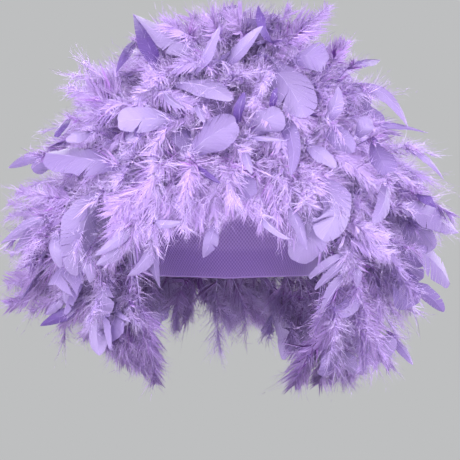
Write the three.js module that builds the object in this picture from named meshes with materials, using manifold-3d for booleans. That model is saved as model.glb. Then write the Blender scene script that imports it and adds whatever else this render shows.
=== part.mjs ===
// A feather wig: a stretch cap with rows of feather boa sewn round it, from a tuft on the
// crown down to the nape, and a fringe of feathers over the forehead.
// Millimetres, +Z up. The face looks along -Y and +X is the viewer's right.
// The origin is the inside of the cap at the crown, where it sits on the head.

import * as THREE from "three";
import { mergeVertices } from "three/addons/utils/BufferGeometryUtils.js";
import Module from "manifold-3d";

const wasm = await Module();
wasm.setup();

const { degToRad, lerp, smoothstep } = THREE.MathUtils;
const WELD = 1e-3; // points nearer than this are one

// The head that the cap is stretched over, measured inside the cap.
const HEAD_HALF_WIDTH = 76;
const HEAD_HALF_LENGTH = 95;
const HEAD_GIRTH_DEPTH = 95; // from the crown down to the widest girth

// The cap is a wall of stretch cloth.
const CAP_WALL = 2;
const CAP_RINGS = 8;
const COLUMNS = 28; // steps of azimuth round the head, the same for the cap and for the boa rows
const COLUMN = 360 / COLUMNS;

// The cap's edge: its elevation about the middle of the girth, by azimuth from the face.
const CAP_EDGE = [
  { azimuth: 0, elevation: 17 }, // forehead
  { azimuth: 40, elevation: 12 },
  { azimuth: 56, elevation: -8 }, // temple
  { azimuth: 72, elevation: -30 }, // in front of the ear
  { azimuth: 120, elevation: -32 },
  { azimuth: 180, elevation: -34 }, // nape
];

// A boa row is a thick downy body with flat feather locks standing out of it.
const BODY_GAP = 0.7; // clear of the cap, and of the facets of both
const BODY_BEND = 0.4; // share of a feather's length where the body's upper and lower faces bend
const BODY_REACH = 0.68; // share of a feather's length where the body ends
// How far a body stays from the border with the next row, in degrees.
const BODY_PART = {
  elevation: 0.4, rootTilt: 1.5, tipTilt: 1.5, frontRootTilt: 1.5, frontTipTilt: 1.5,
};
const LOCK_ROOT = 0.2; // share of a feather's length where a lock starts, inside the body

// Boa rows from the crown down. elevation is where the row is sewn to the cap. faceGap is how many
// columns a row leaves open on each side of the face, and 0 for a row that goes all round. Tilts are
// a feather's angle above the horizontal where it leaves the cap and at its tip, and fan is how far
// its upper and lower ranks spread to either side of that. width is half a lock's width. front... is
// the same over the forehead.
const ROWS = [
  {
    name: "crown_tuft", elevation: 81, faceGap: 0, locks: 3, width: 17,
    rootTilt: 84, tipTilt: 52, length: 57, fan: 11,
    frontRootTilt: 84, frontTipTilt: 48, frontLength: 57, frontFan: 11,
  },
  {
    name: "boa_row_1", elevation: 69, faceGap: 0, locks: 5, width: 19,
    rootTilt: 70, tipTilt: 20, length: 62, fan: 13,
    frontRootTilt: 66, frontTipTilt: 8, frontLength: 60, frontFan: 13,
  },
  {
    name: "boa_row_2", elevation: 54, faceGap: 0, locks: 7, width: 21,
    rootTilt: 55, tipTilt: -2, length: 67, fan: 13,
    frontRootTilt: 44, frontTipTilt: -26, frontLength: 64, frontFan: 15,
  },
  {
    name: "boa_row_3", elevation: 38, faceGap: 0, locks: 8, width: 23,
    rootTilt: 38, tipTilt: -22, length: 75, fan: 11,
    frontRootTilt: 18, frontTipTilt: -58, frontLength: 70, frontFan: 10,
  },
  {
    name: "boa_row_4", elevation: 22, faceGap: 0, locks: 8, width: 26,
    rootTilt: 22, tipTilt: -40, length: 86, fan: 10,
    frontRootTilt: -14, frontTipTilt: -84, frontLength: 78, frontFan: 6,
  },
  {
    name: "boa_row_5", elevation: 6, faceGap: 5, locks: 7, width: 24,
    rootTilt: 6, tipTilt: -52, length: 96, fan: 10,
    frontRootTilt: -50, frontTipTilt: -116, frontLength: 74, frontFan: 3,
  },
  {
    name: "boa_row_6", elevation: -10, faceGap: 5, locks: 7, width: 23,
    rootTilt: -13, tipTilt: -66, length: 99, fan: 10,
    frontRootTilt: -66, frontTipTilt: -122, frontLength: 80, frontFan: 2,
  },
  {
    name: "boa_row_7", elevation: -25, faceGap: 5, locks: 6, width: 24,
    rootTilt: -34, tipTilt: -82, length: 94, fan: 10,
    frontRootTilt: -74, frontTipTilt: -124, frontLength: 86, frontFan: 2,
  },
];
// Where the first row's body starts, at the crown, and where the last one's ends, at the cap's edge.
const CROWN = {
  elevation: 90, rootTilt: 90, tipTilt: 90, length: 52,
  frontRootTilt: 90, frontTipTilt: 90, frontLength: 52,
};
const HEM = {
  elevation: -32, rootTilt: -44, tipTilt: -92, length: 90,
  frontRootTilt: -80, frontTipTilt: -126, frontLength: 84,
};
const FRONT_FULL = 28; // azimuth up to which the front values hold
const FRONT_NONE = 104; // azimuth from which they no longer count

// Each row has three ranks of locks, one above the other, a third of a pitch apart.
const RANKS = [
  { fan: 1, stagger: -0.33, reach: 0.9 },
  { fan: 0, stagger: 0, reach: 1 },
  { fan: -1, stagger: 0.33, reach: 0.96 },
];

// A lock's cross-sections between its root in the body and its pointed tip: thick down near the
// body, and a flat vane towards the tip. Width and thickness are shares of the lock's own.
const LOCK_SECTIONS = [
  { along: 0.5, width: 0.95, thickness: 1 },
  { along: 0.72, width: 1, thickness: 0.8 },
  { along: 0.9, width: 0.6, thickness: 0.35 },
];
const NEARBY = 0.01; // step along a lock for its direction
const LOCK_THICKNESS = 6; // half the lock's thickness where it is thickest
const LENGTH_SPREAD = 0.12;
const WIDTH_SPREAD = 0.15;
const SWEEP = 9; // how far a tip leans sideways along its row
const ROLL = 11; // degrees that a vane turns about its own length
const INDEX_TURN = 0.618034; // steps of the variation, as shares of a turn that never repeat
const SALT_TURN = 0.414214;

// Long feathers that stand out of the outline. reach is their length over their row's.
const LONG_LOCKS = [
  { row: "crown_tuft", azimuth: -60, reach: 1.12 },
  { row: "boa_row_1", azimuth: -75, reach: 1.1 },
  { row: "boa_row_1", azimuth: 70, reach: 1.18 },
  { row: "boa_row_2", azimuth: 88, reach: 1.14 },
  { row: "boa_row_4", azimuth: -88, reach: 1.14 },
  { row: "boa_row_4", azimuth: 90, reach: 1.12 },
  { row: "boa_row_5", azimuth: 92, reach: 1.1 },
  { row: "boa_row_5", azimuth: -95, reach: 1.1 },
  { row: "boa_row_6", azimuth: 95, reach: 1.1 },
  { row: "boa_row_6", azimuth: -92, reach: 1.1 },
];

const FEATHER = new THREE.MeshStandardMaterial({
  color: 0xb49be2, roughness: 0.85, metalness: 0, flatShading: true,
});
const CAP_CLOTH = new THREE.MeshStandardMaterial({
  color: 0x8d6cba, roughness: 0.95, metalness: 0, side: THREE.DoubleSide,
});

// A direction in the horizontal plane, by azimuth from the face.
function outward(azimuth) {
  const a = degToRad(azimuth);
  return new THREE.Vector3(Math.sin(a), -Math.cos(a), 0);
}

// A point on the head, pushed out along its normal.
function onHead(azimuth, elevation, offset) {
  const a = degToRad(azimuth);
  const e = degToRad(elevation);
  const unit = new THREE.Vector3(
    Math.sin(a) * Math.cos(e), -Math.cos(a) * Math.cos(e), Math.sin(e),
  );
  const axes = new THREE.Vector3(HEAD_HALF_WIDTH, HEAD_HALF_LENGTH, HEAD_GIRTH_DEPTH);
  const normal = unit.clone().divide(axes).normalize();
  const centre = new THREE.Vector3(0, 0, -HEAD_GIRTH_DEPTH);
  return unit.multiply(axes).add(centre).addScaledVector(normal, offset);
}

// The cap edge's elevation at any azimuth, eased between the rows of its table.
function edgeElevation(azimuth) {
  const side = Math.abs(azimuth) > 180 ? 360 - Math.abs(azimuth) : Math.abs(azimuth);
  const next = Math.max(1, CAP_EDGE.findIndex((p) => p.azimuth >= side));
  const [low, high] = [CAP_EDGE[next - 1], CAP_EDGE[next]];
  return lerp(low.elevation, high.elevation, smoothstep(side, low.azimuth, high.azimuth));
}

// A varied value from -1 to 1 that depends only on the two numbers.
function varied(index, salt) {
  const turns = (index + 1) * INDEX_TURN + salt * SALT_TURN;
  return 2 * (turns - Math.floor(turns)) - 1;
}

// A closed mesh from points and triangles.
function meshGeometry(points, triangles) {
  const geometry = new THREE.BufferGeometry().setFromPoints(points);
  return geometry.setIndex(triangles);
}

// A closed geometry as a solid for joining, without the triangles that shrink to a line.
function solidOf(geometry) {
  const merged = mergeVertices(geometry, WELD);
  const { array } = merged.index;
  const triangles = [];
  for (let i = 0; i < array.length; i += 3) {
    const [a, b, c] = [array[i], array[i + 1], array[i + 2]];
    if (a !== b && b !== c && c !== a) triangles.push(a, b, c);
  }
  return new wasm.Manifold(new wasm.Mesh({
    numProp: 3,
    vertProperties: merged.attributes.position.array,
    triVerts: new Uint32Array(triangles),
  }));
}

// A joined solid as a geometry again, with any pocket sealed between its locks filled.
function geometryOf(solid) {
  const [outside] = solid.decompose().sort((a, b) => b.volume() - a.volume());
  const { vertProperties, triVerts } = outside.getMesh();
  const geometry = new THREE.BufferGeometry();
  geometry.setAttribute("position", new THREE.BufferAttribute(vertProperties, 3));
  geometry.setIndex(new THREE.BufferAttribute(triVerts, 1));
  geometry.computeVertexNormals();
  return geometry;
}

// The cap: an inner and an outer dome from the crown down to the edge, joined along the edge.
function capGeometry() {
  const points = [onHead(0, 90, 0), onHead(0, 90, CAP_WALL)];
  for (const offset of [0, CAP_WALL]) {
    for (let ring = 1; ring <= CAP_RINGS; ring++) {
      for (let column = 0; column < COLUMNS; column++) {
        const azimuth = COLUMN * column;
        const elevation = lerp(90, edgeElevation(azimuth), ring / CAP_RINGS);
        points.push(onHead(azimuth, elevation, offset));
      }
    }
  }
  const at = (side, ring, column) =>
    ring === 0 ? side : 2 + (side * CAP_RINGS + ring - 1) * COLUMNS + (column % COLUMNS);
  const triangles = [];
  for (let column = 0; column < COLUMNS; column++) {
    const right = column + 1;
    for (let ring = 0; ring < CAP_RINGS; ring++) {
      for (const side of [0, 1]) {
        const corners = [
          at(side, ring, column), at(side, ring + 1, column),
          at(side, ring + 1, right), at(side, ring, right),
        ];
        if (side === 0) corners.reverse();
        const [a, b, c, d] = corners;
        if (a !== b && b !== c) triangles.push(a, b, c);
        if (c !== d && d !== a) triangles.push(a, c, d);
      }
    }
    const [inLeft, inRight] = [at(0, CAP_RINGS, column), at(0, CAP_RINGS, right)];
    const [outLeft, outRight] = [at(1, CAP_RINGS, column), at(1, CAP_RINGS, right)];
    triangles.push(outLeft, inLeft, inRight, outLeft, inRight, outRight);
  }
  return meshGeometry(points, triangles);
}

// The azimuths where a row starts and ends. A row beside the face runs round by the back.
function rowSpan(row) {
  const gap = COLUMN * row.faceGap;
  return gap ? [gap, 360 - gap] : [-180, 180];
}

// A row's tilts and length at an azimuth, between its front values and those for the rest.
function rowAt(row, azimuth) {
  const fromFace = Math.abs(azimuth) > 180 ? 360 - Math.abs(azimuth) : Math.abs(azimuth);
  const rest = smoothstep(fromFace, FRONT_FULL, FRONT_NONE);
  return {
    rootTilt: lerp(row.frontRootTilt, row.rootTilt, rest),
    tipTilt: lerp(row.frontTipTilt, row.tipTilt, rest),
    length: lerp(row.frontLength, row.length, rest),
    fan: lerp(row.frontFan ?? 0, row.fan ?? 0, rest),
  };
}

// A feather's line: an arc that leaves the cap at one tilt and ends at another.
function featherLine(row, azimuth, rankFan = 0, reach = 1, sweep = 0) {
  const root = onHead(azimuth, row.elevation, CAP_WALL + BODY_GAP);
  const { rootTilt, tipTilt, length, fan } = rowAt(row, azimuth);
  const out = outward(azimuth);
  const aside = new THREE.Vector3(-out.y, out.x, 0);
  return (along) => {
    const halfBend = (degToRad(tipTilt - rootTilt) * along) / 2;
    const chordTilt = degToRad(rootTilt + rankFan * fan) + halfBend;
    const chord = length * reach * along * (halfBend ? Math.sin(halfBend) / halfBend : 1);
    return root.clone()
      .addScaledVector(out, chord * Math.cos(chordTilt))
      .addScaledVector(aside, sweep * along * along)
      .add(new THREE.Vector3(0, 0, chord * Math.sin(chordTilt)));
  };
}

// The border half way between two rows, moved down a little (side -1) or up (side 1).
function borderOf(upper, lower, side) {
  const border = {};
  for (const key of Object.keys(HEM)) {
    const shift = BODY_PART[key] ?? 0;
    border[key] = (upper[key] + lower[key]) / 2 + side * shift;
  }
  return border;
}

// The downy body of a row: one closed section at each azimuth, from the border with the row above
// down to the border with the row below.
function bodySolid(row, above, below) {
  const [start, end] = rowSpan(row);
  const columns = Math.round((end - start) / COLUMN);
  const points = [];
  for (let column = 0; column <= columns; column++) {
    const azimuth = start + COLUMN * column;
    const upper = featherLine(above, azimuth);
    const middle = featherLine(row, azimuth);
    const lower = featherLine(below, azimuth);
    points.push(upper(0), upper(BODY_BEND), middle(BODY_REACH));
    points.push(lower(BODY_BEND), lower(0), middle(0));
  }
  const sides = points.length / (columns + 1);
  const triangles = [];
  for (let column = 0; column < columns; column++) {
    for (let k = 0; k < sides; k++) {
      const [a, b] = [column * sides + k, column * sides + ((k + 1) % sides)];
      // The two rows at a border split their facing quads the same way, so they don't cross.
      if (k < sides / 2) triangles.push(a, b, b + sides, a, b + sides, a + sides);
      else triangles.push(a, b, a + sides, b, b + sides, a + sides);
    }
  }
  if (row.faceGap) triangles.push(...endFaces(sides, columns * sides));
  return solidOf(meshGeometry(points, triangles));
}

// The faces that close a body's two ends: strips between its upper and its lower points.
function endFaces(sides, last) {
  const strip = [[sides - 2, sides - 1, 0]];
  for (let upper = 1; upper < sides / 2; upper++) {
    const lower = sides - 2 - upper;
    strip.push([upper - 1, upper, lower + 1]);
    if (upper < lower) strip.push([upper, lower, lower + 1]);
  }
  return strip.flatMap(([a, b, c]) => [b, a, c, last + a, last + b, last + c]);
}

// One lock of feathers: four-cornered sections along its line, drawn to a point at both ends.
function lockSolid(line, halfWidth, roll) {
  const points = [line(LOCK_ROOT), line(1)];
  const triangles = [];
  LOCK_SECTIONS.forEach((section, i) => {
    const centre = line(section.along);
    const tangent = line(section.along + NEARBY).sub(line(section.along - NEARBY)).normalize();
    const across = new THREE.Vector3(-tangent.y, tangent.x, 0).normalize();
    across.applyAxisAngle(tangent, roll);
    const normal = tangent.clone().cross(across);
    const width = halfWidth * section.width;
    const thickness = LOCK_THICKNESS * section.thickness;
    points.push(
      centre.clone().addScaledVector(across, width),
      centre.clone().addScaledVector(normal, thickness),
      centre.clone().addScaledVector(across, -width),
      centre.clone().addScaledVector(normal, -thickness),
    );
    const first = 2 + 4 * i;
    const last = i === LOCK_SECTIONS.length - 1;
    for (let k = 0; k < 4; k++) {
      const [a, b] = [first + k, first + ((k + 1) % 4)];
      if (i === 0) triangles.push(0, b, a);
      if (last) triangles.push(1, a, b);
      else triangles.push(a, b, b + 4, a, b + 4, a + 4);
    }
  });
  return solidOf(meshGeometry(points, triangles));
}

// The lengthening of the lock that stands nearest to a long feather's azimuth.
function longReach(row, azimuth, pitch) {
  const near = LONG_LOCKS.find(
    (long) => long.row === row.name && Math.abs(long.azimuth - azimuth) < pitch / 2,
  );
  return near ? near.reach : 1;
}

// One row of boa: its body with its ranks of locks joined to it.
function boaGeometry(row, rowIndex) {
  const [start, end] = rowSpan(row);
  const pitch = (end - start) / row.locks;
  const [above, below] = [ROWS[rowIndex - 1], ROWS[rowIndex + 1]];
  let boa = bodySolid(
    row, above ? borderOf(above, row, -1) : CROWN, below ? borderOf(row, below, 1) : HEM,
  );
  RANKS.forEach((rank, rankIndex) => {
    for (let i = 0; i < row.locks; i++) {
      const salt = 3 * rowIndex + rankIndex;
      const azimuth = start + pitch * (i + 0.5 + rank.stagger);
      const signed = azimuth > 180 ? azimuth - 360 : azimuth;
      const reach = rank.reach * longReach(row, signed, pitch)
        * (1 + LENGTH_SPREAD * varied(i, salt));
      const line = featherLine(row, azimuth, rank.fan, reach, SWEEP * varied(i, salt + 0.5));
      const halfWidth = row.width * (1 + WIDTH_SPREAD * varied(i, salt + 0.25));
      boa = boa.add(lockSolid(line, halfWidth, degToRad(ROLL * varied(i, salt + 0.75))));
    }
  });
  return geometryOf(boa);
}

function named(name, geometry, material) {
  const mesh = new THREE.Mesh(geometry, material);
  mesh.name = name;
  return mesh;
}

const wig = new THREE.Group();
wig.name = "feather_wig";
wig.add(named("cap", capGeometry(), CAP_CLOTH));
ROWS.forEach((row, index) => wig.add(named(row.name, boaGeometry(row, index), FEATHER)));

export default wig;
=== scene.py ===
"""A lavender feather wig: a stretch cap with rows of chandelle feather boa sewn round it.

Each feather has a shaft, a flat vane towards its tip and soft down towards its root. A row's feathers
are one mesh, made from arrays. Points are in metres and the tables in millimetres and degrees.
"""
import math
from dataclasses import dataclass

import bpy
import numpy as np
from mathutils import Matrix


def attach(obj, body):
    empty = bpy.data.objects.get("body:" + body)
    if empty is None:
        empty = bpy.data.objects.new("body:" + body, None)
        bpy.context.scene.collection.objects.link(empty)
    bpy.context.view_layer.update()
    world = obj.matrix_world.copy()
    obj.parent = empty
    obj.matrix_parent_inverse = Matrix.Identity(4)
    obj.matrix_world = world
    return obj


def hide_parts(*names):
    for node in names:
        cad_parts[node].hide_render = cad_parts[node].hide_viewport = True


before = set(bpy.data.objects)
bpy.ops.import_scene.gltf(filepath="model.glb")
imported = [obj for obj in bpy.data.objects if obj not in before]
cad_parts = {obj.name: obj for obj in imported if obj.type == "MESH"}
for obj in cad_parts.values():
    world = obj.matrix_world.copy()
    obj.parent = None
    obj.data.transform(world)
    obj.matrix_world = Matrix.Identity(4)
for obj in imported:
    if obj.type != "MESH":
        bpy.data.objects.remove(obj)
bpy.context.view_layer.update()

MM = 0.001
SEED = 7
UP = np.array([0, 0, 1.0])
TO_CAMERA = np.array([0, -1.0, 0])

# The hollow for the head, as in the part's source, and the cap round it.
HEAD_AXES = np.array([76.0, 95.0, 95.0]) * MM
HEAD_CENTRE = np.array([0.0, 0.0, -95.0]) * MM
CAP_WALL = 2.0 * MM
CAP_EDGE = ((0, 17), (40, 12), (56, -8), (72, -30), (120, -32), (180, -34))  # azimuth, elevation
CAP_COLUMNS, CAP_RINGS, CAP_HEM_STEPS = 144, 40, 6
CAP_RIBS, CAP_COURSES = 180, 60
CORD_HEIGHT = 4.0 * MM  # of the boa's cord above the inside of the cap

# Rows of boa from the crown down. elevation is where the row is sewn to the cap, and gap the azimuth
# where it starts beside the face. Tilts are a feather's angle above the horizontal at its root and
# at its tip. front_... is the same over the forehead. left_... is what the wearing has done to the
# side at the viewer's left: a share of the length and an angle added to both tilts. plumes is the share
# of the feathers that are down to the tip, and wisps how many wisps of down each feather has.
ROW_COLUMNS = (
    "node", "feathers", "elevation", "gap",
    "root_tilt", "tip_tilt", "length",
    "front_root_tilt", "front_tip_tilt", "front_length",
    "left_length", "left_tilt", "plumes", "wisps",
)
ROW_TABLE = (
    ("crown_tuft", 46, 81, 0, 84, 52, 50, 84, 48, 50, 0.86, 0, 0.56, 26),
    ("boa_row_1", 66, 69, 0, 70, 20, 50, 66, 8, 53, 0.95, 0, 0.56, 23),
    ("boa_row_2", 90, 54, 0, 55, -2, 56, 44, -26, 61, 0.9, 0, 0.56, 23),
    ("boa_row_3", 106, 38, 0, 38, -22, 65, 18, -58, 63, 0.88, 0, 0.56, 23),
    ("boa_row_4", 118, 22, 0, 22, -40, 84, -14, -84, 64, 0.92, 0, 0.56, 25),
    ("boa_row_5", 108, 6, 64, 6, -52, 95, -50, -116, 74, 1.06, 6, 0.56, 31),
    ("boa_row_6", 110, -10, 64, -13, -66, 97, -66, -122, 80, 0.95, 10, 0.6, 30),
    ("boa_row_7", 112, -25, 64, -34, -82, 91, -74, -124, 86, 0.62, 12, 0.78, 30),
)
FRONT_FULL, FRONT_NONE = 28, 104  # azimuths between which the front values fade out

# How the feathers of a row differ, each way from the row's own values.
ROOT_SPREAD = 6  # elevation
FAN = 24  # tilt
SWAY = 26  # sideways
SWAY_FOOT, SWAY_GAIN = 0.6, 0.8  # share of it at the root, and more to the tip
SWAY_LIMIT = 1.2  # in radians
ROLL = 38
TWIST = 30  # from root to tip
LENGTH_RANGE = (0.74, 1.04)
ROW_BARB_LENGTH = (0.8, 1.15)  # of the down on a feather, over its usual length
ROW_BARE = 0.34  # share of a shaft with no fine down
ROW_TINT = (0.25, 1)  # dye, from 0 dark to 1 pale
FRONT_PLUMES = 0.8  # the share of plumes where the placed feathers lie

STATIONS = 12  # steps along a shaft

# Down: fine barbs on both sides of the shaft, in wisps. Where a spread is a pair, the first is of the
# wisps and the second of the barbs in each.
WISP_BARBS = 6
WISP_CROWDING = 0.75  # a power: below 1, the wisps crowd towards the tip
WISP_REACH = 0.05  # how far a wisp's barbs spread along the down
SPREAD_LIMIT = 1.5  # the most that a value strays, over its spread
BARB_LENGTH = (10, 22)
BARB_SHORTEST = 0.5  # over the longest barb of the wisp
BARB_WIDTH = (0.22, 0.42)
BARB_STEPS = np.array([0.0, 0.52, 1.0])
BARB_TAPER = np.array([1.0, 0.8])
BARB_CORNERS = BARB_STEPS[[0, 0, 1, 1, 2]]  # the places of a barb's five points along it
BARB_FACE, BARB_TIP = np.array([0, 1, 3, 2]), np.array([2, 3, 4])
BARB_ANGLE, BARB_CLOSING = 76, 38  # from the shaft, and how much less at the tip
ANGLE_SPREAD = (14, 9)
LIFT_SPREAD = (40, 22)  # out of the plane of the feather
CURL_SPREAD = (0.28, 0.1)
BEND_SPREAD = (0.36, 0.12)
BEND_FORWARD, BEND_DOWN = 0.28, 0.06
PLUME_FADE = 0.25  # how much shorter the barbs are at a plume's tip
TINT_BASE, TINT_OWN = 0.3, 0.4  # of all down, and the share of the feather's own
TINT_SPREAD = (0.1, 0.12)
TINT_RANGE = (0.02, 0.98)
RIBBON_STIR = 0.7  # of a barb's flat side, from facing outward
BARBULES = 2  # on a barb
BARBULE_PLACE = (0.1, 0.95)
BARBULE_LENGTH = (3, 7)
BARBULE_WIDTH = 0.26
BARBULE_STRAY = 0.45
BARBULE_FADE = 0.2  # of its tip towards the barb's tip colour
BARBULE_TINT = 0.1
PLUME_ROUND, BARB_ROUND = 0.9, 0.12  # how far the down's shading follows its own plume and barb
DOWN_TO_PLUME = 0.94  # share of a plume's shaft where the down ends
DOWN_OVER_VANE = 0.12  # how far the down reaches over a vane

# Under-down: the same, but wide, near the cap, and darker: painted shade for the depths of the down.
UNDER_WISPS = 6
UNDER_WIDTH = (0.8, 1.6)
UNDER_FROM, UNDER_TO_PLUME, UNDER_TO_VANE = 0.1, 0.58, 0.46  # shares of the shaft
# how far the under-down's tint is lowered: painted shade
UNDER_PAINTED_SHADE = 0.26

# Sheets: barbs of a plume that lie side by side and part towards their ends. A wave is how far a value
# swings along a sheet.
SHEET_SHARE = 0.5  # of the plumes in a row
SHEET_BARBS = 34  # on a side
SHEET_LENGTH = (13, 20)
SHEET_SHORTEST = 0.55  # over the longest barb beside it
SHEET_FOOT, SHEET_FULL = 0.7, 0.25  # length at its start, and where it is full
SHEET_FADE = 0.45  # how much shorter the barbs are at the tip
SHEET_WIDTH = (0.9, 1.6)
SHEET_SPAN = (0.34, 0.96)  # shares of the shaft
SHEET_LIFT, LIFT_WAVE = 6, 16
SHEET_ANGLE, SHEET_CLOSING = 64, 30
ANGLE_WAVE, SHEET_ANGLE_SPREAD = 9, 5
SHEET_FORWARD = 0.5
SHEET_SAG, SAG_WAVE = 0.24, 0.2
CURL_WAVE = 0.16
SHEET_STIR = 0.2
SHEET_STREAK = 0.03  # how unevenly the barbs take the dye

# The photograph's scale, in the plane through the crown, and where it was taken from.
PHOTO_SIDE = 460
PIXEL = 0.735 * MM
CROWN_PIXEL = (228.5, 78)
CAMERA_DISTANCE = 1.3
MIDDLE = PHOTO_SIDE / 2
AXIS_X, AXIS_Z = (MIDDLE - CROWN_PIXEL[0]) * PIXEL, (CROWN_PIXEL[1] - MIDDLE) * PIXEL  # of the camera
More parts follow.
